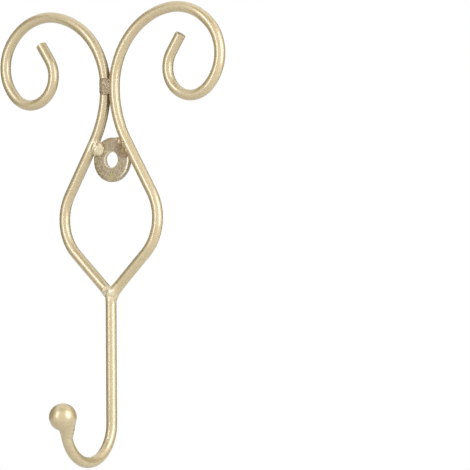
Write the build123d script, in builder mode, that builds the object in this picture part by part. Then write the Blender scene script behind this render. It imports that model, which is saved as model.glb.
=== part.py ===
from build123d import *
import os
from math import cos, radians, sin, sqrt, tan

# Wall coat hook welded up from round steel wire: two mirrored scroll wires that meet at a waist and at a
# fork, a hook rod with a ball on its tip, and a washer between the wires for the wall screw.
# Millimetres and degrees, +Z up. The wall is the plane Y = 0, the hook comes forward along -Y, and the
# origin is the centre of the screw hole on the wall.

# Wire stock
WIRE_DIAMETER = 4.0

# Bends of a scroll wire from the waist up to its tip, all turning outwards
RISE_RADIUS = 28.0
RISE_TURN = 82.0
CROWN_RADIUS = 21.25
CROWN_TURN = 59.5
FALL_RADIUS = 16.0
FALL_TURN = 88.5
CURL_RADIUS = 10.5
CURL_TURN = 163.5
TIP_LENGTH = 7.4
TIP_EASE = 0.3

# Bends of a scroll wire from the waist down to its foot at the fork
NECK_RADIUS = 40.0
LEG_ANGLE = 30.5
LEG_LENGTH = 22.0
SHOULDER_RADIUS = 18.25
SHOULDER_TURN = 76.5
WAIST_GAP = 0.1
FEET_GAP = 1.0

# Washer for the wall screw
WASHER_DIAMETER = 16.5
WASHER_THICKNESS = 1.5
WASHER_EASE = 0.5
SCREW_HOLE_DIAMETER = 5.8
WASHER_BITE = 0.46
WASHER_SEAT_GAP = 0.03

# Hook rod and its ball
SHANK_LENGTH = 48.6
SHANK_SEAT_GAP = 0.1
HOOK_RADIUS = 13.9
HOOK_TURN = 163.0
HOOK_TIP_LENGTH = 3.5
BALL_DIAMETER = 10.0
BALL_SEAT_DEPTH = 1.0
BALL_SEAT_GAP = 0.05

# Weld beads: how far each one runs and how proud it stands
WAIST_WELD_HEIGHT = 5.8
WAIST_WELD_RAISE = 0.4
WAIST_WELD_PROUD = 0.5
WAIST_WELD_SHIFT = 0.3
WAIST_WELD_EASE = 0.4
WAIST_WELD_BACK = 0.9
WASHER_WELD_LENGTH = 7.4
WASHER_WELD_RADIUS = 2.5
WASHER_WELD_LIFT = 0.2
WASHER_WELD_LAP = 0.9
WASHER_WELD_RAISE = 1.0
FORK_WELD_DROP = 3.5
FORK_WELD_SLANT = 28.0
FORK_WELD_RISE = 0.6
FORK_WELD_SIDE = 0.1
FORK_WELD_PROUD = 0.35
FORK_WELD_TOE = 0.15
BALL_WELD_SINK = 2.2
BALL_WELD_LENGTH = 4.1
BALL_WELD_PROUD = 0.9
BALL_WELD_LEAN = 1.2
BALL_WELD_TOE = 0.1
BALL_WELD_TOE_LEAN = 0.2
WALL_CLEARANCE = 0.2

# Planes and seats that the pieces share
wire_radius = WIRE_DIAMETER / 2
washer_radius = WASHER_DIAMETER / 2
ball_radius = BALL_DIAMETER / 2
wire_plane = Plane.XZ.offset(wire_radius)
leg_angle = radians(LEG_ANGLE)
foot_angle = radians(SHOULDER_TURN - LEG_ANGLE)

# The washer lies on the wall between the two legs, and each leg lies in a shallow hollow in its rim. How far a
# leg bites into the rim gives its distance from the screw hole, and that sets the waist's height.
leg_distance = washer_radius + wire_radius - WASHER_BITE
waist_x = wire_radius + WAIST_GAP / 2
leg_top_x = waist_x + NECK_RADIUS * (1 - cos(leg_angle))
leg_top_drop = NECK_RADIUS * sin(leg_angle)
waist_z = leg_top_drop + (leg_distance - leg_top_x * cos(leg_angle)) / sin(leg_angle)

# A foot is cut square across the wire, and its upper corner stops half of the gap from the middle
foot_x = FEET_GAP / 2 + wire_radius * cos(foot_angle)

os.makedirs("parts", exist_ok=True)

# Scroll wires: one bent path and its mirror image
with BuildPart() as right_scroll_wire:
    with BuildLine(wire_plane) as bend_line:
        rise = JernArc((waist_x, waist_z), (0, 1), RISE_RADIUS, -RISE_TURN)
        crown = JernArc(rise @ 1, rise % 1, CROWN_RADIUS, -CROWN_TURN)
        fall = JernArc(crown @ 1, crown % 1, FALL_RADIUS, -FALL_TURN)
        curl = JernArc(fall @ 1, fall % 1, CURL_RADIUS, -CURL_TURN)
        tip = PolarLine(curl @ 1, TIP_LENGTH, direction=curl % 1)
        neck = JernArc((waist_x, waist_z), (0, -1), NECK_RADIUS, LEG_ANGLE)
        leg = PolarLine(neck @ 1, LEG_LENGTH, direction=neck % 1)
        shoulder = JernArc(leg @ 1, leg % 1, SHOULDER_RADIUS, -SHOULDER_TURN)
        foot = PolarLine(shoulder @ 1, Plane.YZ.offset(foot_x), direction=shoulder % 1)
    with BuildSketch(Plane(foot @ 1, z_dir=foot % 1)):
        Circle(wire_radius)
    sweep(path=bend_line.wire())
    tip_face = right_scroll_wire.faces().filter_by(GeomType.PLANE).sort_by_distance(tip @ 1)[0]
    fillet(tip_face.edges(), TIP_EASE)

with BuildPart() as left_scroll_wire:
    mirror(right_scroll_wire.part, about=Plane.YZ)

# Washer, with its front rim eased as a punched one's is and a hollow in the rim for each leg
leg_seats = [
    Plane(
        (side * leg_distance * cos(leg_angle), -wire_radius, leg_distance * sin(leg_angle)),
        z_dir=(side * sin(leg_angle), 0, -cos(leg_angle)),
    )
    for side in (1, -1)
]

with BuildPart() as mounting_washer:
    with BuildSketch(Plane.XZ):
        Circle(washer_radius)
        Circle(SCREW_HOLE_DIAMETER / 2, mode=Mode.SUBTRACT)
    extrude(amount=WASHER_THICKNESS)
    washer_front = mounting_washer.faces().sort_by(Axis.Y)[0]
    fillet(washer_front.outer_wire().edges(), WASHER_EASE)
    with Locations(*leg_seats):
        Cylinder(wire_radius + WASHER_SEAT_GAP, washer_radius, mode=Mode.SUBTRACT)

# Hook rod: its flat top stands in the notch between the two square feet
foot_end = foot @ 1
feet_top_z = foot_end.Z + wire_radius * sin(foot_angle)
feet_low_z = foot_end.Z - wire_radius * sin(foot_angle)
feet_low_x = foot_end.X + wire_radius * cos(foot_angle)
shank_overlap = max(wire_radius - FEET_GAP / 2, 0)
shank_top_z = feet_top_z - shank_overlap * tan(foot_angle) - SHANK_SEAT_GAP

with BuildPart() as hook_rod:
    with BuildLine(Plane.YZ) as hook_line:
        shank = PolarLine((-wire_radius, shank_top_z), SHANK_LENGTH, -90)
        bend = JernArc(shank @ 1, shank % 1, HOOK_RADIUS, -HOOK_TURN)
        hook_tip = PolarLine(bend @ 1, HOOK_TIP_LENGTH, direction=bend % 1)
    with BuildSketch(Plane(shank @ 0, z_dir=shank % 0)):
        Circle(wire_radius)
    sweep(path=hook_line.wire())

# Ball, with a shallow seat for the end of the rod
tip_direction = hook_tip % 1
ball_centre = (hook_tip @ 1) + tip_direction * (ball_radius - BALL_SEAT_DEPTH)
seat_plane = Plane(hook_tip @ 1, z_dir=-tip_direction)

with BuildPart(Plane(ball_centre, z_dir=tip_direction)) as hook_ball:
    Sphere(ball_radius)
    with BuildSketch(seat_plane):
        Circle(wire_radius + BALL_SEAT_GAP)
    extrude(amount=BALL_SEAT_DEPTH, mode=Mode.SUBTRACT)

# Weld at the waist: a flat pad over the front of the left wire that fills the groove to the right one
pad_low_z = waist_z + WAIST_WELD_RAISE - WAIST_WELD_HEIGHT / 2
pad_plane = Plane((WAIST_WELD_SHIFT - waist_x, -wire_radius, pad_low_z))

with BuildPart() as waist_weld:
    with BuildSketch(pad_plane):
        Circle(wire_radius + WAIST_WELD_PROUD)
    extrude(amount=WAIST_WELD_HEIGHT)
    fillet(waist_weld.edges().filter_by(GeomType.CIRCLE), WAIST_WELD_EASE)
    add(left_scroll_wire.part, mode=Mode.SUBTRACT)
    add(right_scroll_wire.part, mode=Mode.SUBTRACT)
    split(bisect_by=wire_plane.offset(WAIST_WELD_BACK), keep=Keep.TOP)

# Welds at the washer: a bead along each leg, flat on the washer's face
leg_direction = leg % 0
to_leg = Vector(cos(leg_angle), 0, sin(leg_angle))
bead_front = Vector(0, -(WASHER_THICKNESS + WASHER_WELD_LIFT), 0)
bead_seat = to_leg * (washer_radius - WASHER_WELD_LAP) - leg_direction * WASHER_WELD_RAISE
bead_plane = Plane(bead_seat + bead_front, leg_direction, to_leg)

with BuildPart() as right_washer_weld:
    with BuildSketch(bead_plane):
        SlotOverall(WASHER_WELD_LENGTH, 2 * WASHER_WELD_RADIUS)
        split(bisect_by=Plane.XZ, keep=Keep.TOP)
    revolve(axis=Axis(bead_plane.origin, bead_plane.x_dir))
    add(right_scroll_wire.part, mode=Mode.SUBTRACT)
    add(mounting_washer.part, mode=Mode.SUBTRACT)
    split(bisect_by=Plane.XZ.offset(WASHER_THICKNESS), keep=Keep.TOP)

with BuildPart() as left_washer_weld:
    mirror(right_washer_weld.part, about=Plane.YZ)

# Weld at the fork: it wraps the two feet and runs down the rod, further on the right, and stays off the wall
slant = radians(FORK_WELD_SLANT)
toe_radius = wire_radius + FORK_WELD_TOE
toe_centre = (0, -wire_radius, feet_low_z - FORK_WELD_DROP)

with BuildPart() as fork_weld:
    with BuildSketch(Plane(toe_centre, (cos(slant), 0, -sin(slant)), (sin(slant), 0, cos(slant)))):
        Ellipse(toe_radius / cos(slant), toe_radius)
    with BuildSketch(Plane((0, -wire_radius, feet_low_z))):
        Ellipse(feet_low_x + FORK_WELD_SIDE, wire_radius + FORK_WELD_PROUD)
    with BuildSketch(Plane((0, -wire_radius, feet_top_z + FORK_WELD_RISE))):
        Ellipse(wire_radius, wire_radius - FORK_WELD_TOE)
    loft(ruled=True)
    add(left_scroll_wire.part, mode=Mode.SUBTRACT)
    add(right_scroll_wire.part, mode=Mode.SUBTRACT)
    add(hook_rod.part, mode=Mode.SUBTRACT)
    split(bisect_by=Plane.XZ.offset(WALL_CLEARANCE), keep=Keep.TOP)

# Weld under the ball: a collar on the side of the rod that faces the shank, from the ball down to a thin toe
to_shank = Vector(1, 0, 0).cross(tip_direction) * -1
ball_at_rod = sqrt(ball_radius**2 - wire_radius**2)
collar_top = ball_centre - tip_direction * (ball_at_rod - BALL_WELD_SINK) + to_shank * BALL_WELD_LEAN
collar_toe = ball_centre - tip_direction * (ball_at_rod + BALL_WELD_LENGTH) + to_shank * BALL_WELD_TOE_LEAN

with BuildPart() as ball_weld:
    with BuildSketch(Plane(collar_top, (1, 0, 0), tip_direction)):
        Circle(wire_radius + BALL_WELD_PROUD)
    with BuildSketch(Plane(collar_toe, (1, 0, 0), tip_direction)):
        Circle(wire_radius + BALL_WELD_TOE)
    loft(ruled=True)
    with Locations(ball_centre):
        Sphere(ball_radius, mode=Mode.SUBTRACT)
    add(hook_rod.part, mode=Mode.SUBTRACT)

pieces = {
    "left_scroll_wire": left_scroll_wire,
    "right_scroll_wire": right_scroll_wire,
    "hook_rod": hook_rod,
    "hook_ball": hook_ball,
    "mounting_washer": mounting_washer,
    "waist_weld": waist_weld,
    "left_washer_weld": left_washer_weld,
    "right_washer_weld": right_washer_weld,
    "fork_weld": fork_weld,
    "ball_weld": ball_weld,
}
for name, piece in pieces.items():
    piece.part.label = name
    export_step(piece.part, f"parts/{name}.step")

wire_length = bend_line.wire().length
rod_length = hook_line.wire().length
print("wire length of one scroll:", round(wire_length, 2), "rod:", round(rod_length, 2))
print("waist over the screw hole:", round(waist_z, 2), "ball centre:", ball_centre)
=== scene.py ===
# %% [markdown]
# # A wall coat hook in pale gold paint
#
# The real hook is bent from round steel wire, welded up by hand and then sprayed with a metallic gold paint.
# The bends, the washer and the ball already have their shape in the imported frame, so this lesson adds what the
# frame can't hold: the sparkle of the paint, the lumpy weld beads, and a studio to see them in. The axes are
# the frame's own: +Z is up and the hook comes forward along -Y. Blender counts in metres. Small places on the
# hook are written in millimetres, because those numbers are easier to read.

# %% Load the frame
from math import cos, radians, sin, tan

import bmesh
import bpy
from mathutils import Matrix, Vector, noise


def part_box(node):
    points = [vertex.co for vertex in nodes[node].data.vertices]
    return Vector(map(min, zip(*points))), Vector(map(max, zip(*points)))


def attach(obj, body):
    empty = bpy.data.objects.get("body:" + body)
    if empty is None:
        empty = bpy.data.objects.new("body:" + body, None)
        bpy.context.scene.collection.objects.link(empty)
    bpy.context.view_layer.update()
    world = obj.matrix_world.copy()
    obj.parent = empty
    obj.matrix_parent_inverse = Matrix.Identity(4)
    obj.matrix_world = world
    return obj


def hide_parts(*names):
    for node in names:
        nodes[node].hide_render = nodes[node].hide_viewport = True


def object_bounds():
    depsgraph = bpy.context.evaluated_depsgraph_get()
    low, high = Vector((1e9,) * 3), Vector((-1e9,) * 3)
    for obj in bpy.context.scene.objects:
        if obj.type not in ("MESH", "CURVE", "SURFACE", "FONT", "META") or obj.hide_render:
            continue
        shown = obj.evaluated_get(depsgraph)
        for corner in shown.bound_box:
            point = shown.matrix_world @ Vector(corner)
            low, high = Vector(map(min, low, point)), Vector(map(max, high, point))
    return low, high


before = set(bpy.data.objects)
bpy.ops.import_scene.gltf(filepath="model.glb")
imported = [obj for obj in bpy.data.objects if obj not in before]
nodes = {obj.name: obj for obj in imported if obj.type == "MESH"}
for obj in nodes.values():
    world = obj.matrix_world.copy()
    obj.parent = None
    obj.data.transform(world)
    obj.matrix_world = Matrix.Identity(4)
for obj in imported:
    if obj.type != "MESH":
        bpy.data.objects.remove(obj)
cad_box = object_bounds()
MM = 0.001
WIRE_AXIS = -2.0  # how far the middle of a wire lies from the wall along Y, in millimetres


def middle(node_name):
    """The middle of a node's box, in millimetres."""
    low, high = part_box(node_name)
    return (Vector(low) + Vector(high)) / 2 / MM


print("frame pieces:", ", ".join(sorted(nodes)))

# %% [markdown]
# ## The camera
#
# The hook was photographed with a long lens from its right side and slightly from below. A long lens keeps
# the two scrolls nearly the same size, so the distance has to be right as well as the angle. The camera is
# placed on a ray from the washer, and then it is turned a little, because the hook stands left of the middle.

# %% Place the camera
AIM_BELOW_TOP = 35.036 * MM
CAMERA_AIM = Vector((0, WIRE_AXIS * MM, cad_box[1].z - AIM_BELOW_TOP))
CAMERA_TURN = 36.572
CAMERA_RISE = -4.836
CAMERA_DISTANCE = 992.53 * MM
CAMERA_PAN = -2.658
CAMERA_TILT = 2.871
CAMERA_ROLL = -0.401
CAMERA_LENS = 205.24
CAMERA_NEAREST = 0.01


def ray(turn, rise):
    """The direction from the hook out to a place, turned about +Z from -Y and raised over the horizon."""
    turn, rise = radians(turn), radians(rise)
    return Vector((sin(turn) * cos(rise), -cos(turn) * cos(rise), sin(rise)))


def link(thing):
    """Puts an object into the scene."""
    bpy.context.scene.collection.objects.link(thing)
    return thing


camera = link(bpy.data.objects.new("camera", bpy.data.cameras.new("camera")))
camera.data.lens = CAMERA_LENS
camera.location = CAMERA_AIM + ray(CAMERA_TURN, CAMERA_RISE) * CAMERA_DISTANCE
look = ray(CAMERA_TURN + CAMERA_PAN, CAMERA_RISE + CAMERA_TILT)
facing = (-look).to_track_quat("-Z", "Y").to_matrix() @ Matrix.Rotation(radians(CAMERA_ROLL), 3, "Z")
camera.rotation_euler = facing.to_euler()
camera.data.clip_start = CAMERA_NEAREST
bpy.context.scene.camera = camera
bpy.context.scene.view_settings.view_transform = "Standard"
print("camera stands at", [round(x, 3) for x in camera.location])

# %% [markdown]
# ## The white studio
#
# Glossy paint shows the room as much as itself, so the room is part of the finish. The world is plain white for
# everything that looks at it, straight or in a reflection, and dimmer for the light that it sheds. The Light
# Path node tells those rays apart.

# %% Paint the world white
WORLD_LIGHT = 0.49


def new_node(tree, kind, **settings):
    """Adds a shader node and sets its properties."""
    node = tree.nodes.new(kind)
    for name, value in settings.items():
        setattr(node, name, value)
    return node


def seen_rays(tree):
    """One for a ray from the camera, from a reflection or through glass, and zero for scattered light."""
    path = new_node(tree, "ShaderNodeLightPath")
    total = None
    for name in ("Is Camera Ray", "Is Glossy Ray", "Is Transmission Ray"):
        if total is None:
            total = path.outputs[name]
            continue
        either = new_node(tree, "ShaderNodeMath", operation="MAXIMUM")
        tree.links.new(total, either.inputs[0])
        tree.links.new(path.outputs[name], either.inputs[1])
        total = either.outputs[0]
    return total


world = bpy.data.worlds.new("white_studio")
bpy.context.scene.world = world
world.use_nodes = True
tree = world.node_tree
strength = new_node(tree, "ShaderNodeMapRange")
strength.inputs["To Min"].default_value = WORLD_LIGHT
strength.inputs["To Max"].default_value = 1.0
tree.links.new(seen_rays(tree), strength.inputs["Value"])
background = tree.nodes["Background"]
background.inputs["Color"].default_value = (1, 1, 1, 1)
tree.links.new(strength.outputs["Result"], background.inputs["Strength"])
print("world: white to look at,", WORLD_LIGHT, "as a lamp")

# %% [markdown]
# ## The floor
#
# The floor lies well below the hook, as a table below a hung sample. It is pale and takes the hook's shadow
# close by, and further out it glows for the camera until it melts into the white world.

# %% Lay the floor
FLOOR_DROP = 90 * MM
FLOOR_HALF = 6.0
FLOOR_COLOUR = (0.82, 0.82, 0.81, 1)
FLOOR_ROUGHNESS = 0.9
GLOW_NEAR = 0.25
GLOW_FAR = 1.0
GLOW_INNER = 0.15
GLOW_OUTER = 0.75

bm = bmesh.new()
bmesh.ops.create_grid(bm, x_segments=1, y_segments=1, size=FLOOR_HALF)
floor_z = cad_box[0].z - FLOOR_DROP
bmesh.ops.translate(bm, verts=bm.verts, vec=(0, 0, floor_z))
floor_mesh = bpy.data.meshes.new("floor")
bm.to_mesh(floor_mesh)
bm.free()
floor = link(bpy.data.objects.new("floor", floor_mesh))

floor_paint = bpy.data.materials.new("pale_floor")
floor_paint.use_nodes = True
tree = floor_paint.node_tree
matt = tree.nodes["Principled BSDF"]
matt.inputs["Base Color"].default_value = FLOOR_COLOUR
matt.inputs["Roughness"].default_value = FLOOR_ROUGHNESS
spot = new_node(tree, "ShaderNodeTexCoord")
reach = new_node(tree, "ShaderNodeVectorMath", operation="LENGTH")
tree.links.new(spot.outputs["Object"], reach.inputs[0])
glow = new_node(tree, "ShaderNodeMapRange", interpolation_type="SMOOTHSTEP")
glow.inputs["From Min"].default_value = GLOW_INNER
glow.inputs["From Max"].default_value = GLOW_OUTER
glow.inputs["To Min"].default_value = GLOW_NEAR
glow.inputs["To Max"].default_value = GLOW_FAR
tree.links.new(reach.outputs["Value"], glow.inputs["Value"])
white = new_node(tree, "ShaderNodeEmission")
mix = new_node(tree, "ShaderNodeMixShader")
share = new_node(tree, "ShaderNodeMath", operation="MULTIPLY")
tree.links.new(glow.outputs["Result"], share.inputs[0])
tree.links.new(seen_rays(tree), share.inputs[1])
tree.links.new(share.outputs[0], mix.inputs["Fac"])
tree.links.new(matt.outputs[0], mix.inputs[1])
tree.links.new(white.outputs[0], mix.inputs[2])
tree.links.new(mix.outputs[0], tree.nodes["Material Output"].inputs["Surface"])
floor_mesh.materials.append(floor_paint)
print("floor at", round(floor_z, 3))

# %% [markdown]
# ## Soft boxes
#
# Round wire is lit with two tall soft boxes, one on each side of the camera. Each box shows in the paint as a
# light streak along the wire. A third lamp above only brightens the tops, and is kept out of the reflections,
# where it would add a streak that the wire doesn't have. No lamp shows to the camera.

# %% Hang the soft boxes
LAMP_DISTANCE = 0.75
SOFT_BOXES = {
    "right_box": {"turn": 48, "rise": 13, "width": 0.56, "height": 0.92, "power": 4.6, "reflects": True},
    "left_box": {"turn": -49, "rise": 14, "width": 0.22, "height": 0.85, "power": 2.0, "reflects": True},
    "top_box": {"turn": 0, "rise": 84, "width": 0.80, "height": 0.80, "power": 1.9, "reflects": False},
}


def aim_at_hook(thing, turn, rise, distance):
    """Stands a thing on a ray from the hook, counted from the camera's side, with its -Z towards the hook."""
    out = ray(CAMERA_TURN + turn, rise)
    thing.location = out * distance
    thing.rotation_euler = (-out).to_track_quat("-Z", "Y").to_euler()


for name, box in SOFT_BOXES.items():
    data = bpy.data.lights.new(name, "AREA")
    data.shape = "ELLIPSE"
    data.size = box["width"]
    data.size_y = box["height"]
    data.energy = box["power"]
    lamp = link(bpy.data.objects.new(name, data))
    lamp.visible_camera = False
    lamp.visible_glossy = box["reflects"]
    aim_at_hook(lamp, box["turn"], box["rise"], LAMP_DISTANCE)
    print("lamp", name, box["power"], "W")

# %% [markdown]
# ## Dark cards
#
# In a white room a pale wire would have no edges. So dark cards stand behind the hook to the left and the right,
# and the sides of the wire mirror them as a dark outline. A third card hangs above the camera and keeps the top
# of the ball from washing out. Only reflections and scattered light see the cards.

# %% Stand the dark cards
CARD_DISTANCE = 0.6
CARD_COLOUR = (0.03, 0.03, 0.03, 1)
CARDS = {
    "right_card": {"turn": 132, "rise": 5, "width": 0.90, "height": 0.80},
    "left_card": {"turn": -118, "rise": 5, "width": 1.00, "height": 0.90},
    "front_card": {"turn": -5, "rise": 64, "width": 0.50, "height": 0.28},
}

card_black = bpy.data.materials.new("card_black")
card_black.use_nodes = True
card_paint = card_black.node_tree.nodes["Principled BSDF"]
card_paint.inputs["Base Color"].default_value = CARD_COLOUR
card_paint.inputs["Roughness"].default_value = 1.0

for name, sheet in CARDS.items():
    bm = bmesh.new()
    bmesh.ops.create_grid(bm, x_segments=1, y_segments=1, size=0.5)  # half of a square metre's side
    bmesh.ops.scale(bm, verts=bm.verts, vec=(sheet["width"], sheet["height"], 1))
    card_mesh = bpy.data.meshes.new(name)
    bm.to_mesh(card_mesh)
    bm.free()
    card_mesh.materials.append(card_black)
    card = link(bpy.data.objects.new(name, card_mesh))
    aim_at_hook(card, sheet["turn"], sheet["rise"], CARD_DISTANCE)
    for sight in ("camera", "transmission", "volume_scatter", "shadow"):
        setattr(card, "visible_" + sight, False)
    print("card", name, "at", sheet["turn"], "degrees")

# %% [markdown]
# ## The gold paint
#
# Metallic spray paint is a skin of tiny flakes in clear lacquer. Close up it is grainy: single flakes catch the
# light, and the coat is thicker in some places than in others. One node group makes that grain for every
# finish of the hook. It puts out a colour, a roughness and a height, and each material gives it other sizes.

# %% Build the flake group
def srgb(red, green, blue):
    """A colour as an eye dropper reads it, from 0 to 255, turned into Blender's linear numbers."""
    steps = [c / 255 for c in (red, green, blue)]
    return tuple(s / 12.92 if s <= 0.04045 else ((s + 0.055) / 1.055) ** 2.4 for s in steps) + (1.0,)


FLAKE_INPUTS = {
    "Pale": "NodeSocketColor",
    "Deep": "NodeSocketColor",
    "Warm": "NodeSocketColor",
    "Grain Scale": "NodeSocketFloat",
    "Mottle Scale": "NodeSocketFloat",
    "Drift Scale": "NodeSocketFloat",
    "Smoothest": "NodeSocketFloat",
    "Roughest": "NodeSocketFloat",
}
FLAKE_OUTPUTS = {"Color": "NodeSocketColor", "Roughness": "NodeSocketFloat", "Height": "NodeSocketFloat"}

flake_group = bpy.data.node_groups.new("gold_flakes", "ShaderNodeTree")
for name, kind in FLAKE_INPUTS.items():
    flake_group.interface.new_socket(name, in_out="INPUT", socket_type=kind)
for name, kind in FLAKE_OUTPUTS.items():
    flake_group.interface.new_socket(name, in_out="OUTPUT", socket_type=kind)
given = new_node(flake_group, "NodeGroupInput")
result = new_node(flake_group, "NodeGroupOutput")
flake_place = new_node(flake_group, "ShaderNodeTexCoord")
print("flake group: sockets", ", ".join([*FLAKE_INPUTS, *FLAKE_OUTPUTS]))

# %% [markdown]
# Three noises make the paint uneven: a fine grain of single flakes, a coarser mottle of thick and thin spots,
# and a slow drift from a cool gold to a warm one. A noise rarely leaves its middle values, so each one is
# stretched until it reaches zero and one.

# %% Fill the flake group
GRAIN_RANGE = (0.30, 0.70)
MOTTLE_RANGE = (0.32, 0.68)
DRIFT_RANGE = (0.35, 0.65)
GRAIN_SHARE = 0.5
MIX_SOCKETS = {"RGBA": (6, 7, 2), "FLOAT": (2, 3, 0)}  # first and second input, and output, of a Mix node


def noise_at(scale_name, detail):
    """A noise whose scale is one of the group's inputs."""
    cloud = new_node(flake_group, "ShaderNodeTexNoise")
    cloud.inputs["Detail"].default_value = detail
    flake_group.links.new(flake_place.outputs["Object"], cloud.inputs["Vector"])
    flake_group.links.new(given.outputs[scale_name], cloud.inputs["Scale"])
    return cloud.outputs[0]


def spread(value, low, high):
    """Stretches the middle of a noise, which rarely leaves low to high, over zero to one."""
    stretch = new_node(flake_group, "ShaderNodeMapRange", interpolation_type="SMOOTHSTEP")
    stretch.inputs["From Min"].default_value = low
    stretch.inputs["From Max"].default_value = high
    flake_group.links.new(value, stretch.inputs["Value"])
    return stretch.outputs["Result"]


def blend(factor, first, second, kind="RGBA"):
    """The first value where the factor is zero and the second where it is one."""
    mixer = new_node(flake_group, "ShaderNodeMix", data_type=kind)
    first_socket, second_socket, output = MIX_SOCKETS[kind]
    flake_group.links.new(factor, mixer.inputs["Factor"])
    flake_group.links.new(first, mixer.inputs[first_socket])
    flake_group.links.new(second, mixer.inputs[second_socket])
    return mixer.outputs[output]


grain = spread(noise_at("Grain Scale", 1.0), *GRAIN_RANGE)
mottle = spread(noise_at("Mottle Scale", 2.0), *MOTTLE_RANGE)
drift = spread(noise_at("Drift Scale", 1.0), *DRIFT_RANGE)
some_mottle = new_node(flake_group, "ShaderNodeMath", operation="MULTIPLY")
some_mottle.inputs[1].default_value = 1 - GRAIN_SHARE
flake_group.links.new(mottle, some_mottle.inputs[0])
flakes_here = new_node(flake_group, "ShaderNodeMath", operation="MULTIPLY_ADD")
flakes_here.inputs[1].default_value = GRAIN_SHARE
flake_group.links.new(grain, flakes_here.inputs[0])
flake_group.links.new(some_mottle.outputs[0], flakes_here.inputs[2])
body = blend(drift, given.outputs["Deep"], given.outputs["Warm"])
colour = blend(flakes_here.outputs[0], body, given.outputs["Pale"])
rough = blend(grain, given.outputs["Smoothest"], given.outputs["Roughest"], "FLOAT")
flake_group.links.new(colour, result.inputs["Color"])
flake_group.links.new(rough, result.inputs["Roughness"])
flake_group.links.new(flakes_here.outputs[0], result.inputs["Height"])
print("flake group:", len(flake_group.nodes), "nodes")

# %% [markdown]
# ## Four coats of the same paint
#
# The drawn wire is smooth, so the paint on it is even and glossy. The punched washer is rough underneath, and
# there the same paint looks grainy and darker. A weld that got too hot has scorched the paint brown, and that
# coat is also darkened with painted shade where the right wire shades the bead. The pad at the waist is dull and
# sandy. Sizes of grain, mottle, drift and bump are in millimetres.

# %% Mix the coats
COATS = {
    "wire_gold": {
        "pale": (202, 185, 142), "deep": (190, 171, 127), "warm": (195, 173, 130), "gloss": 1.0,
        "grain": 0.30, "mottle": 1.1, "drift": 9.0, "rough": (0.36, 0.46), "bump": 0.003,
    },
    "washer_gold": {
        "pale": (202, 184, 144), "deep": (119, 104, 73), "warm": (130, 114, 80), "gloss": 0.8,
        "grain": 0.40, "mottle": 0.62, "drift": 5.0, "rough": (0.40, 0.60), "bump": 0.05,
    },
    # Scorch brown, darkened with painted shade for the bead in the right wire's shade
    "scorched_shaded_gold": {
        "pale": (190, 162, 112), "deep": (104, 81, 46), "warm": (130, 98, 56), "gloss": 0.7,
        "grain": 0.36, "mottle": 0.9, "drift": 2.4, "rough": (0.36, 0.55), "bump": 0.03,
    },
    "sandy_gold": {
        "pale": (190, 170, 134), "deep": (112, 93, 66), "warm": (132, 108, 78), "gloss": 0.4,
        "grain": 0.40, "mottle": 0.8, "drift": 2.6, "rough": (0.45, 0.65), "bump": 0.07,
    },
}
EDGE_TINT = (0.62, 0.54, 0.40, 1)
METAL_SHARE = 0.2
LACQUER_ROUGHNESS = 0.19
LACQUER_IOR = 2.0

coats = {}


def mix_coat(name, recipe):
    """Makes a material from a recipe and keeps it under its name."""
    coat = bpy.data.materials.new(name)
    coat.use_nodes = True
    tree = coat.node_tree
    flakes = new_node(tree, "ShaderNodeGroup", node_tree=flake_group)
    for socket in ("Pale", "Deep", "Warm"):
        flakes.inputs[socket].default_value = srgb(*recipe[socket.lower()])
    for socket in ("Grain", "Mottle", "Drift"):
        flakes.inputs[socket + " Scale"].default_value = 1 / (recipe[socket.lower()] * MM)
    flakes.inputs["Smoothest"].default_value, flakes.inputs["Roughest"].default_value = recipe["rough"]
    lacquer = tree.nodes["Principled BSDF"]
    lacquer.inputs["Metallic"].default_value = METAL_SHARE
    lacquer.inputs["Specular Tint"].default_value = EDGE_TINT
    lacquer.inputs["Coat Weight"].default_value = recipe["gloss"]
    lacquer.inputs["Coat Roughness"].default_value = recipe.get("haze", LACQUER_ROUGHNESS)
    lacquer.inputs["Coat IOR"].default_value = LACQUER_IOR
    bump = new_node(tree, "ShaderNodeBump")
    bump.inputs["Strength"].default_value = 1.0
    bump.inputs["Distance"].default_value = recipe["bump"] * MM
    tree.links.new(flakes.outputs["Color"], lacquer.inputs["Base Color"])
    tree.links.new(flakes.outputs["Roughness"], lacquer.inputs["Roughness"])
    tree.links.new(flakes.outputs["Height"], bump.inputs["Height"])
    tree.links.new(bump.outputs["Normal"], lacquer.inputs["Normal"])
    coats[name] = coat


for name in ("wire_gold", "washer_gold", "sandy_gold"):
    mix_coat(name, COATS[name])
print("coats:", ", ".join(coats))

# %% [markdown]
# ## Marks on the paint
#
# A painted part has marks of its own, such as heat stains near a weld and a speck of dirt. Some marks here are
# painted light and shade instead: painted highlights on edges and on a bead, and painted shade in creases and
# beside the right wire. Each mark is a mask made from a distance in Object coordinates, so it stays where it is
# from every side, and it lays one more colour over the coat. Places and distances are in millimetres.

# %% Helpers for marks
def ramp(tree, value, zero_at, one_at):
    """Zero on one side of an edge and one on the other, with a soft step between two distances."""
    step = new_node(tree, "ShaderNodeMapRange", interpolation_type="SMOOTHSTEP")
    for name, number in zip(("From Min", "From Max"), sorted((zero_at, one_at))):
        step.inputs[name].default_value = number * MM
    step.inputs["To Min"].default_value = 0.0 if zero_at < one_at else 1.0
    step.inputs["To Max"].default_value = 1.0 if zero_at < one_at else 0.0
    tree.links.new(value, step.inputs["Value"])
    return step.outputs["Result"]


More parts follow.
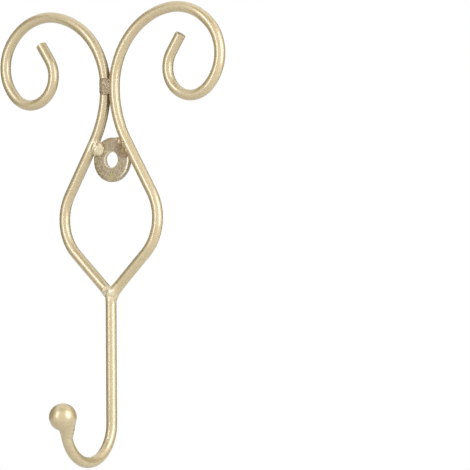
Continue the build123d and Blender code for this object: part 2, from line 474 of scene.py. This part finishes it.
def distance_from(tree, point, squash=(1, 1, 1)):
    """The distance from a point. A direction that is squashed counts for less."""
    place = new_node(tree, "ShaderNodeTexCoord")
    gap = new_node(tree, "ShaderNodeVectorMath", operation="SUBTRACT")
    gap.inputs[1].default_value = Vector(point) * MM
    scaled = new_node(tree, "ShaderNodeVectorMath", operation="MULTIPLY")
    scaled.inputs[1].default_value = squash
    length = new_node(tree, "ShaderNodeVectorMath", operation="LENGTH")
    tree.links.new(place.outputs["Object"], gap.inputs[0])
    tree.links.new(gap.outputs["Vector"], scaled.inputs[0])
    tree.links.new(scaled.outputs["Vector"], length.inputs[0])
    return length.outputs["Value"]


def overlap(tree, first, second):
    """A mask that is one only where two masks are."""
    both = new_node(tree, "ShaderNodeMath", operation="MULTIPLY")
    tree.links.new(first, both.inputs[0])
    tree.links.new(second, both.inputs[1])
    return both.outputs[0]


def lay_over(tree, mask, shade, share):
    """Lays a colour over the coat where the mask is one, as thick as its share."""
    lacquer = tree.nodes["Principled BSDF"]
    first_socket, second_socket, output = MIX_SOCKETS["RGBA"]
    under = lacquer.inputs["Base Color"].links[0].from_socket
    thin = new_node(tree, "ShaderNodeMath", operation="MULTIPLY")
    thin.inputs[1].default_value = share
    over = new_node(tree, "ShaderNodeMix", data_type="RGBA")
    over.inputs[second_socket].default_value = srgb(*shade)
    tree.links.new(mask, thin.inputs[0])
    tree.links.new(thin.outputs[0], over.inputs["Factor"])
    tree.links.new(under, over.inputs[first_socket])
    tree.links.new(over.outputs[output], lacquer.inputs["Base Color"])


def stain_and_painted_light(coat, point, outer, inner, shade, share, squash=(1, 1, 1)):
    """A round patch of colour on a coat, used for real stains and for painted highlights and shade, that starts at
    its outer distance and is full from its inner one.
    """
    tree = coats[coat].node_tree
    lay_over(tree, ramp(tree, distance_from(tree, point, squash), outer, inner), shade, share)
    print("stain on", coat, "at", [round(x, 1) for x in point])


# %% [markdown]
# ### Marks on the washer
#
# Heat has flushed the washer above its hole. Beside the right bead it is browned by heat and darkened with painted
# shade from the right wire, and a drop of thick paint has dried at the bottom. The wall of the hole has a pale
# painted highlight, and so has a thin line inside the rim at the lower right. These two are rings about the
# screw's axis, so height along that axis doesn't count in their distance, and the painted highlight line is cut
# short by a second mask.

# %% Mark the washer
WASHER_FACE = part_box("mounting_washer")[0][1] / MM
ABOUT_SCREW = (1, 0, 1)
RIM_LIGHT = (6.6, WASHER_FACE, -3.2)

stain_and_painted_light("washer_gold", (0.0, WASHER_FACE, 6.4), outer=4.0, inner=0.5, shade=(178, 146, 112), share=0.45)
# Browned by heat and darkened with painted shade from the right wire, beside the right bead
stain_and_painted_light("washer_gold", (5.2, WASHER_FACE, 3.8), outer=4.6, inner=1.8, shade=(128, 98, 56), share=0.8)
stain_and_painted_light("washer_gold", (0.2, WASHER_FACE, -6.3), outer=2.0, inner=0.6, shade=(184, 166, 92), share=0.5)
# A pale painted highlight on the wall and rolled edge of the hole
stain_and_painted_light("washer_gold", (0, 0, 0), outer=3.30, inner=3.15, shade=(226, 214, 184), share=0.85, squash=ABOUT_SCREW)

washer_tree = coats["washer_gold"].node_tree
radius = distance_from(washer_tree, (0, 0, 0), ABOUT_SCREW)
# A painted highlight: a thin pale line inside the rim, kept to the lower right
rim_highlight_line = overlap(washer_tree, ramp(washer_tree, radius, 7.25, 7.45), ramp(washer_tree, radius, 7.85, 7.65))
lower_right_highlight = ramp(washer_tree, distance_from(washer_tree, RIM_LIGHT), 5.0, 3.4)
lay_over(washer_tree, overlap(washer_tree, rim_highlight_line, lower_right_highlight), shade=(236, 226, 198), share=0.75)

# %% [markdown]
# ### Marks on the wires
#
# In the groove where the two wires meet, a long thin brown mark stands for the weld's browning and for painted
# shade between the wires. The left wire also has one dark speck, and a pale painted highlight where the washer's
# bead runs onto it. The lacquer on the ball is hazier than on the wires, so its highlights are softer.

# %% Mark the wires
BALL_HAZE = 0.27
GROOVE_SHADE_AND_STAIN = (0, WIRE_AXIS, middle("waist_weld").z - 2)
LONG_UPRIGHT = (1, 1, 0.18)

mix_coat("ball_gold", COATS["wire_gold"] | {"haze": BALL_HAZE})
# The brown mark in the groove is weld browning and painted shade between the wires
for name in ("left_wire_gold", "right_wire_gold"):
    mix_coat(name, COATS["wire_gold"])
    stain_and_painted_light(name, GROOVE_SHADE_AND_STAIN, outer=2.0, inner=1.2, shade=(138, 108, 66), share=0.75, squash=LONG_UPRIGHT)
stain_and_painted_light("left_wire_gold", (-2.68, -1.58, 12.22), outer=0.45, inner=0.25, shade=(70, 56, 40), share=1.0)
# A pale painted highlight where the washer's bead runs onto the left wire
stain_and_painted_light("left_wire_gold", (-7.4, -3.4, 5.4), outer=3.0, inner=1.2, shade=(232, 218, 182), share=0.8)

# %% [markdown]
# ## Paint the frame
#
# The wires, the rod and the ball keep the frame's own surfaces, so they only get their coats. The frame's washer
# and welds get one too, but pieces made further on take their places.

# %% Give every node its coat
NODE_COATS = {
    "mounting_washer": "washer_gold",
    "left_scroll_wire": "left_wire_gold",
    "right_scroll_wire": "right_wire_gold",
    "hook_ball": "ball_gold",
}
for node_name, node in nodes.items():
    coat = NODE_COATS.get(node_name, "wire_gold")
    node.data.materials.clear()
    node.data.materials.append(coats[coat])
    print(node_name, "gets", coat)

# %% [markdown]
# ## Handing over a piece
#
# Every new piece ends in the same way: it is shaded smooth, gets its coat, becomes an object and rides on the
# hook's one body, and the node that it stands for is hidden.

# %% Hand over a new piece
def hand_over(bm, name, coat, stands_for=None):
    """Turns a finished mesh into a piece of the hook, which may stand for a node of the frame."""
    for face in bm.faces:
        face.smooth = True
    mesh = bpy.data.meshes.new(name)
    bm.to_mesh(mesh)
    bm.free()
    mesh.materials.append(coats[coat])
    piece = link(bpy.data.objects.new(name, mesh))
    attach(piece, "root")
    if stands_for:
        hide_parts(stands_for)
    print(name, len(mesh.polygons), "faces")


# %% [markdown]
# ## The washer
#
# The frame's washer has a rolled edge outside only. A punched one is rolled at its hole as well, and its face
# falls off a little towards the rim, and both catch the light. So a rounded profile is drawn from the hole to
# the rim and spun about the screw's axis. Extra rings keep the flat of the face flat in the shading.

# %% Draw the washer's profile
CORNER_STEPS = 6
ROLL, HOLE_ROLL, BACK_ROLL = 0.45 * MM, 0.35 * MM, 0.1 * MM
FALL_WIDTH = 1.05 * MM
FALL_DEGREES = 13
FALL = radians(FALL_DEGREES)
RING = 0.15 * MM
HOLE_RADIUS = 2.9 * MM
low, high = (Vector(corner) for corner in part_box("mounting_washer"))
rim, face_y = high.x, low.y


def rounded(middle_r, middle_y, size, start, end):
    """Points of a rounded corner in the profile, from one angle to another."""
    angles = [radians(start + (end - start) * step / CORNER_STEPS) for step in range(CORNER_STEPS + 1)]
    return [(middle_r + size * cos(a), middle_y + size * sin(a)) for a in angles]


fall_run = FALL_WIDTH - ROLL * (1 - sin(FALL))
roll_y = face_y + fall_run * tan(FALL) + ROLL * cos(FALL)
profile = rounded(HOLE_RADIUS + BACK_ROLL, -BACK_ROLL, BACK_ROLL, 90, 180)
profile += rounded(HOLE_RADIUS + HOLE_ROLL, face_y + HOLE_ROLL, HOLE_ROLL, 180, 270)
profile += [(HOLE_RADIUS + HOLE_ROLL + RING, face_y), (rim - FALL_WIDTH - RING, face_y)]
profile += [(rim - FALL_WIDTH + RING, face_y + RING * tan(FALL))]
profile += rounded(rim - ROLL, roll_y, ROLL, 270 + FALL_DEGREES, 360)
profile += rounded(rim - BACK_ROLL, -BACK_ROLL, BACK_ROLL, 0, 90)
print("washer profile:", len(profile), "points")

# %% Spin the washer
SPIN_STEPS = 128
SAME_POINT = 0.001 * MM

disc = bmesh.new()
ring = [disc.verts.new((r, y, 0)) for r, y in profile]
edges = [disc.edges.new((ring[i - 1], ring[i])) for i in range(len(ring))]
bmesh.ops.spin(
    disc, geom=ring + edges, cent=(0, 0, 0), axis=(0, 1, 0), angle=radians(360), steps=SPIN_STEPS, use_merge=True
)
bmesh.ops.remove_doubles(disc, verts=disc.verts, dist=SAME_POINT)
bmesh.ops.recalc_face_normals(disc, faces=disc.faces)
hand_over(disc, "mounting_washer_disc", "washer_gold", "mounting_washer")

# %% [markdown]
# ## Weld beads
#
# A weld bead is metal that ran and froze: round drops that melted into each other and into the wire. So each
# bead is piled up from drops and sticks that overlap. A stick as thick as the wire itself is in the pile too, so
# that the bead runs out on the wire. Then a voxel Remesh modifier gives the pile one skin, and a Smooth modifier
# melts the corners into hollows. The beads are modelled in millimetres and scaled at the end.

# %% Helpers to pile up and melt
VOXEL = 0.16
SOFTENING = 0.5
DROP_SUBDIVISIONS = 4
STICK_SIDES = 48


def drop(bm, centre, radii, along=(0, 0, 1)):
    """A ball stretched to three radii, its last one along a direction."""
    turn = Vector(along).to_track_quat("Z", "Y").to_matrix().to_4x4()
    place = Matrix.Translation(centre) @ turn @ Matrix.Diagonal((*radii, 1))
    bmesh.ops.create_icosphere(bm, subdivisions=DROP_SUBDIVISIONS, radius=1, matrix=place)


def stick(bm, start, end, start_radius, end_radius):
    """A round stick between two points that may taper."""
    axis = Vector(end) - Vector(start)
    turn = axis.to_track_quat("Z", "Y").to_matrix().to_4x4()
    place = Matrix.Translation((Vector(start) + Vector(end)) / 2) @ turn
    bmesh.ops.create_cone(
        bm, cap_ends=True, segments=STICK_SIDES, radius1=start_radius, radius2=end_radius,
        depth=axis.length, matrix=place,
    )


def melt(bm, softness):
    """One skin over the whole pile, with its corners melted into hollows."""
    lump = bpy.data.meshes.new("lump")
    bm.to_mesh(lump)
    bm.free()
    melting = link(bpy.data.objects.new("lump", lump))
    skin = melting.modifiers.new("skin", "REMESH")
    skin.mode = "VOXEL"
    skin.voxel_size = VOXEL
    soft = melting.modifiers.new("soft", "SMOOTH")
    soft.factor = SOFTENING
    soft.iterations = softness
    frozen = bpy.data.meshes.new_from_object(melting.evaluated_get(bpy.context.evaluated_depsgraph_get()))
    bpy.data.objects.remove(melting)
    bpy.data.meshes.remove(lump)
    bm = bmesh.new()
    bm.from_mesh(frozen)
    bpy.data.meshes.remove(frozen)
    return bm


# %% [markdown]
# Frozen metal is never even. Kneading gives it dents from a noise with a fixed seed, and pressing draws a groove
# or a ridge. Where a bead would reach below the surface that it lies on, it is trimmed by a plane.

# %% Helpers to shape a bead
EVERYWHERE = 1000
TO_WALL = (0, 1, 0)


def ease(near):
    """A soft step from zero to one."""
    return near * near * (3 - 2 * near)


def knead(bm, size, depth, seed, centre=(0, 0, 0), reach=EVERYWHERE):
    """Small dents and bumps of about one size, which fade out in the last millimetre of their reach."""
    shift, centre = Vector((seed, 2 * seed, 3 * seed)), Vector(centre)
    bm.normal_update()
    for vert in bm.verts:
        fade = min(max(reach - (vert.co - centre).length, 0), 1)
        vert.co += vert.normal * noise.noise(vert.co / size + shift) * depth * fade


def press(bm, line, width, depth):
    """A groove along a line of points, or a pit at a single one. A negative depth raises a ridge."""
    line = [Vector(point) for point in line]
    bm.normal_update()
    for vert in bm.verts:
        gaps = [(vert.co - point).length for point in line]
        for start, end in zip(line, line[1:]):
            share = (vert.co - start).dot(end - start) / (end - start).length_squared
            if 0 < share < 1:
                gaps.append((vert.co - start.lerp(end, share)).length)
        near = 1 - min(gaps) / width
        if near > 0:
            vert.co -= vert.normal * depth * ease(near)


def trim(bm, point, outwards):
    """Cuts off what lies beyond a plane and closes the cut."""
    geometry = bm.verts[:] + bm.edges[:] + bm.faces[:]
    cut = bmesh.ops.bisect_plane(bm, geom=geometry, plane_co=point, plane_no=outwards, clear_outer=True)
    rim = [e for e in cut["geom_cut"] if isinstance(e, bmesh.types.BMEdge)]
    bmesh.ops.holes_fill(bm, edges=rim, sides=0)


def weld(bm, node_name, coat):
    """Hands a bead over in place of its node, scaled to metres."""
    bmesh.ops.scale(bm, verts=bm.verts, vec=(MM, MM, MM))
    hand_over(bm, node_name + "_bead", coat, node_name)


# %% [markdown]
# ### The pad at the waist
#
# Where the two wires touch, a sandy pad covers the front of the left one and fills the groove to the right one.
# Its ends are abrupt, so it is hardly melted. A small pit is left from a bubble.

# %% Pad at the waist
PAD_BACK = -2.9
pad_z = middle("waist_weld").z

pad = bmesh.new()
# The band round the left wire, its slimmer ends, and the metal in the groove
stick(pad, (-1.75, WIRE_AXIS, pad_z - 2.2), (-1.75, WIRE_AXIS, pad_z + 2.6), 2.45, 2.45)
stick(pad, (-1.9, WIRE_AXIS, pad_z - 3.1), (-1.9, WIRE_AXIS, pad_z + 3.1), 2.15, 2.15)
drop(pad, (0.1, -3.2, pad_z), (1.3, 0.75, 2.9))
pad = melt(pad, softness=5)
knead(pad, size=1.6, depth=0.14, seed=3)
knead(pad, size=0.5, depth=0.10, seed=5)
press(pad, [(-1.1, -4.4, pad_z - 1.4)], width=0.5, depth=0.22)
trim(pad, (0, PAD_BACK, 0), TO_WALL)
weld(pad, "waist_weld", "sandy_gold")

# %% [markdown]
# ### The left bead at the washer
#
# Each leg is tacked to the washer. The left bead is a fat one: it climbs the wire, throws a ridge across the
# washer and sags into a lobe below, with painted shade in the notch behind the ridge. Its paint is the wire's own
# with a pale painted highlight that fades out, so that no border shows where the bead runs out on the wire.

# %% Left bead at the washer
LEFT_LEG = (-0.5075, 0, -0.8616)  # down along the leg, 30.5 degrees off the upright
LEFT_HEART = (-4.8, -2.4, 4.2)


def fading_coat(name, under, centre, outer, inner, shade, share):
    """One of the coats with a paler patch that fades out."""
    mix_coat(name, COATS[under])
    stain_and_painted_light(name, centre, outer, inner, shade, share)


left_bead = bmesh.new()
# The leg, the body of the bead, its climb up the leg, the lobe, the ridge, and the foot of the ridge
stick(left_bead, (-6.3, WIRE_AXIS, 8.6), (-10.6, WIRE_AXIS, 1.3), 2.01, 2.01)
drop(left_bead, (-5.6, -1.9, 4.2), (2.1, 1.4, 3.0), LEFT_LEG)
drop(left_bead, (-6.5, -3.0, 5.2), (1.1, 0.95, 2.3), LEFT_LEG)
drop(left_bead, (-5.0, -1.7, 2.9), (1.6, 1.0, 1.5))
drop(left_bead, (-4.4, -2.1, 5.1), (1.0, 0.9, 2.1), (2.3, 1.3, -2.4))
drop(left_bead, (-4.2, -1.7, 3.7), (1.0, 0.8, 1.2))
left_bead = melt(left_bead, softness=24)
knead(left_bead, size=2.2, depth=0.12, seed=11, centre=LEFT_HEART, reach=3.2)
knead(left_bead, size=0.8, depth=0.10, seed=12, centre=LEFT_HEART, reach=3.2)
press(left_bead, [(-5.3, -3.3, 6.3), (-4.8, -3.0, 5.2)], width=0.7, depth=0.3)
press(left_bead, [(-4.7, -2.9, 6.0), (-3.2, -2.0, 4.3)], width=0.7, depth=-0.25)
trim(left_bead, (0, WASHER_FACE, 0), TO_WALL)
# A pale painted highlight on the bead, fading out onto the wire
fading_coat("left_bead_gold", "wire_gold", LEFT_HEART, outer=3.6, inner=1.6, shade=(230, 215, 178), share=0.8)
# Painted shade in the notch behind the ridge
stain_and_painted_light(
    "left_bead_gold", (-4.9, -3.2, 5.7), outer=0.75, inner=0.25, shade=(136, 112, 74), share=0.7,
    squash=(0.9, 0.6, 0.6),
)
weld(left_bead, "left_washer_weld", "left_bead_gold")

# %% [markdown]
# ### The right bead at the washer
#
# The right bead lies deep in the corner between the leg and the washer. It got too hot: it is lumpy and scorched
# brown, and its coat is also darkened with painted shade from the right wire, with two paler lumps on the washer's
# rim. It is melted less and kneaded more than the left one.

# %% Right bead at the washer
RIGHT_LEG = (0.5075, 0, -0.8616)
RIGHT_HEART = (5.2, -2.2, 4.6)
RIM_LUMPS = (3.7, -2.4, 7.0)

right_bead = bmesh.new()
# The leg, then the drops from the corner outwards
stick(right_bead, (6.3, WIRE_AXIS, 8.6), (10.6, WIRE_AXIS, 1.3), 1.95, 1.95)
drop(right_bead, (5.8, -1.7, 4.0), (1.9, 1.1, 3.0), RIGHT_LEG)
drop(right_bead, (6.7, -2.5, 4.0), (1.2, 1.2, 2.7), RIGHT_LEG)
drop(right_bead, (7.4, -3.3, 4.9), (0.95, 0.85, 1.7), RIGHT_LEG)
drop(right_bead, (8.3, -3.2, 3.3), (0.95, 0.85, 1.7), RIGHT_LEG)
# The two lumps on the rim, and the lower end, which laps onto the washer
drop(right_bead, (3.1, -1.7, 7.4), (1.0, 0.8, 0.9))
drop(right_bead, (4.4, -2.1, 6.6), (1.2, 1.1, 1.2))
drop(right_bead, (7.1, -1.9, 2.0), (1.2, 1.0, 1.3))
drop(right_bead, (5.0, -1.7, 3.5), (0.9, 0.7, 1.3), RIGHT_LEG)
drop(right_bead, (6.1, -1.7, 1.7), (0.9, 0.7, 1.1), RIGHT_LEG)
right_bead = melt(right_bead, softness=8)
knead(right_bead, size=1.4, depth=0.36, seed=17, centre=RIGHT_HEART, reach=4.2)
knead(right_bead, size=0.6, depth=0.14, seed=19, centre=RIGHT_HEART, reach=4.2)
trim(right_bead, (0, WASHER_FACE, 0), TO_WALL)
# Scorch brown with painted shade from the right wire, paler on the two rim lumps
fading_coat("right_bead_gold", "scorched_shaded_gold", RIM_LUMPS, outer=3.0, inner=1.0, shade=(214, 190, 152), share=0.6)
weld(right_bead, "right_washer_weld", "right_bead_gold")

# %% [markdown]
# ### The bead at the fork
#
# Both feet and the rod run together here. The pile holds the ends of all three, so that the smoothing makes
# the hollows between them. The left foot's square end shows as a groove with a low ridge beside it.

# %% Bead at the fork
FORK_BACK = -0.2
ROD_TOP = Vector((0, WIRE_AXIS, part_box("hook_rod")[1][2] / MM))


def near_fork(x, y, z):
    """A place counted from the middle of the rod's flat top."""
    return ROD_TOP + Vector((x, y, z))


SEAM = [
    near_fork(0.4, -1.0, 2.4), near_fork(-0.5, -1.9, 1.0), near_fork(-1.9, -1.9, -0.2), near_fork(-2.6, -1.0, -1.0)
]
BESIDE_SEAM = Vector((-0.5, 0, 0.6))
FORK_HEART = near_fork(0.3, -2.0, -0.3)

fork = bmesh.new()
# The right foot, the left foot, the rod, and the metal over all three
stick(fork, near_fork(4.9, 0, 3.12), near_fork(0.9, 0, -0.75), 1.93, 2.28)
stick(fork, near_fork(-4.3, 0, 2.54), near_fork(-1.0, 0, -0.65), 1.93, 2.2)
stick(fork, near_fork(0, 0, 0.9), near_fork(0, 0, -6.4), 2.3, 1.93)
drop(fork, near_fork(0.6, -0.15, -0.5), (2.5, 2.35, 2.3))
# The toes down the rod, longer on the right, and the crotch between the feet
stick(fork, near_fork(2.7, 0, -0.2), near_fork(1.0, 0, -4.0), 1.3, 1.15)
stick(fork, near_fork(-2.1, 0, -0.8), near_fork(-0.9, 0, -2.8), 1.2, 1.1)
drop(fork, near_fork(0.15, -0.2, 1.1), (0.9, 1.5, 0.8))
fork = melt(fork, softness=16)
knead(fork, size=2.0, depth=0.05, seed=23)
press(fork, SEAM, width=0.55, depth=0.22)
press(fork, [point + BESIDE_SEAM for point in SEAM[1:]], width=0.6, depth=-0.2)
trim(fork, (0, FORK_BACK, 0), TO_WALL)
fading_coat("fork_gold", "wire_gold", FORK_HEART, outer=4.5, inner=1.0, shade=(234, 220, 184), share=0.85)
weld(fork, "fork_weld", "fork_gold")

# %% [markdown]
# ### The collar under the ball
#
# The rod was welded to the ball on the side that faces the shank. The collar swells out of the rod in two low
# ripples and runs on into the ball. The pile holds a ball and a stick that are a hair thicker than the real
# ones, because melting shrinks them, and it is melted for long, so that no edge is left on the ball.

# %% Collar under the ball
BALL_RADIUS = 5.0
HAIR = 0.02
BALL_CENTRE = Vector((0, middle("hook_ball").y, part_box("hook_ball")[1][2] / MM - BALL_RADIUS))
TIP_DIRECTION = Vector((0, -0.2924, 0.9563))  # up along the rod's tip, 17 degrees off the upright
TO_SHANK = Vector((0, 0.9563, 0.2924))
WELDED_SIDE = (TO_SHANK + Vector((1, 0, 0))).normalized()


def under_ball(down, lean, side=0):
    """A place counted down the rod from the ball, out towards the shank and off to the right."""
    return BALL_CENTRE - TIP_DIRECTION * down + TO_SHANK * lean + Vector((side, 0, 0))


def ripple(bm, down, width, height):
    """Raises a low ring at a distance from the ball, highest on the welded side."""
    bm.normal_update()
    for vert in bm.verts:
        near = 1 - abs((BALL_CENTRE - vert.co).dot(TIP_DIRECTION) - down) / width
        if near > 0:
            side = 0.5 + 0.5 * vert.normal.dot(WELDED_SIDE)
            vert.co += vert.normal * height * side * ease(near)


collar = bmesh.new()
# The ball, the rod, the swelling towards the shank, and a smaller one towards the right
drop(collar, BALL_CENTRE, (BALL_RADIUS + HAIR,) * 3)
stick(collar, under_ball(2.0, 0), under_ball(8.6, 0), 2.09, 1.96)
stick(collar, under_ball(2.2, 1.5, 0.2), under_ball(8.8, 0), 3.4, 1.85)
stick(collar, under_ball(2.4, -0.1, 0.9), under_ball(8.2, 0), 3.1, 1.9)
collar = melt(collar, softness=70)
knead(collar, size=2.0, depth=0.06, seed=31, centre=under_ball(6.2, 0.5, 0.5), reach=3.0)
for down in (5.6, 7.0):
    ripple(collar, down, width=0.75, height=0.12)
trim(collar, under_ball(1.5, 0), TIP_DIRECTION)
weld(collar, "ball_weld", "ball_gold")

# %% [markdown]
# ### A nib in the paint
#
# A grain of dust was painted over on the inner side of the bend and stands up as a small nib. Two drops melted
# into each other are enough for it, in the wire's paint with near-white colours that are a painted glint.

# %% Nib on the bend
NIB = Vector((0.62, -5.22, -102.45))
NIB_TAIL = Vector((-0.5, -0.15, -0.35))
# Near-white colours that paint the nib's glint
NIB_GLINT_COLOURS = {"pale": (250, 245, 230), "deep": (238, 230, 208)}

nib = bmesh.new()
drop(nib, NIB, (0.6, 0.5, 0.42))
drop(nib, NIB + NIB_TAIL, (0.4, 0.35, 0.3))
nib = melt(nib, softness=1)
bmesh.ops.scale(nib, verts=nib.verts, vec=(MM, MM, MM))
mix_coat("nib_glint_gold", COATS["wire_gold"] | NIB_GLINT_COLOURS)
hand_over(nib, "paint_nib", "nib_glint_gold")
